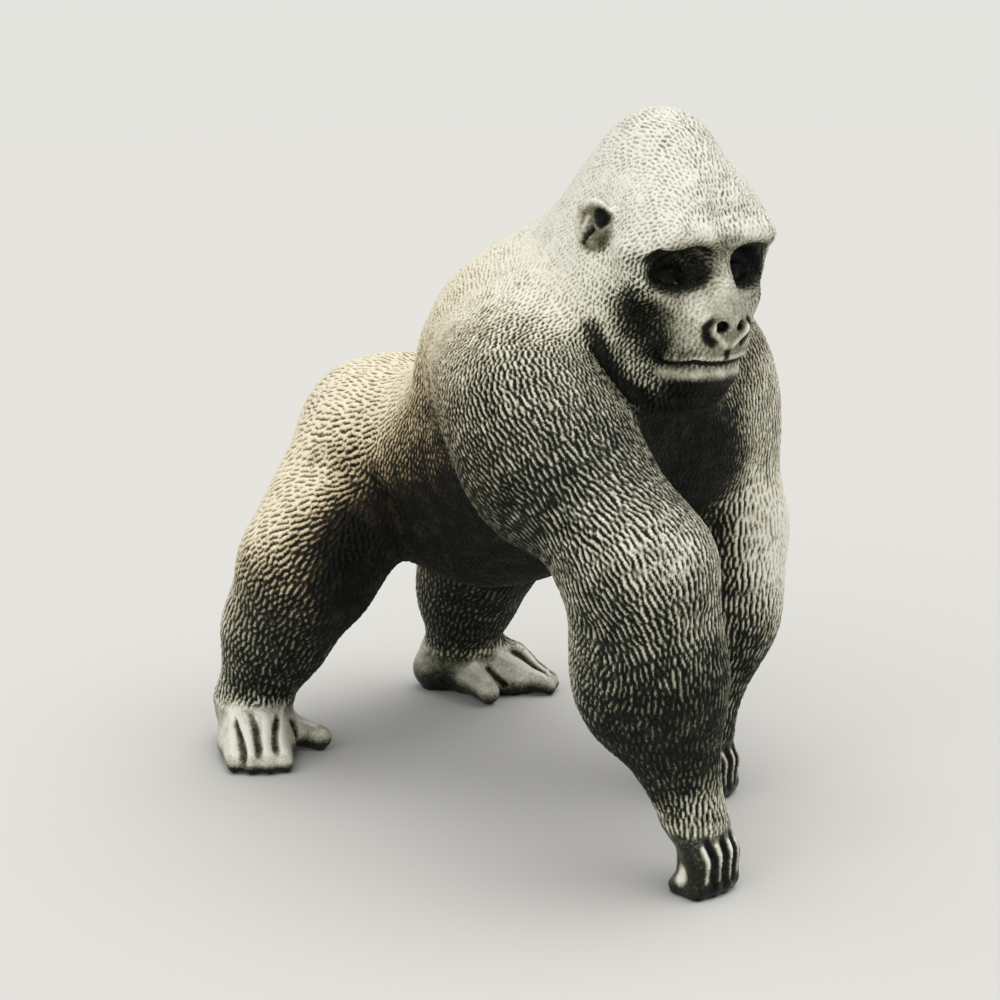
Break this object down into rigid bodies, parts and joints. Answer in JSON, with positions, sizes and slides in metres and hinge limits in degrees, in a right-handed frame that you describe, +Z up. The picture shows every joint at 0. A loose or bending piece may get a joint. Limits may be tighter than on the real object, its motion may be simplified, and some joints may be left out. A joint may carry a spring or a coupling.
{
  "type": "gorilla figurine",
  "caption": "Gorilla figurine walking on its knuckles, cast in one piece with carved fur and an antiqued dark green-bronze finish.",
  "frame": {"origin": "on the ground, below the middle of the bounding box", "axes": "+Z up, the figurine faces -Y, its right side is at -X"},
  "size_m": [0.1412, 0.2074, 0.2],
  "materials": {
    "patina": "cold-cast resin with a dark green-bronze patina, ivory dry-brushed ridges and a satin to gloss sheen on bare skin"
  },
  "bodies": {
    "root": {"gorilla": "patina"}
  },
  "joints": []
}
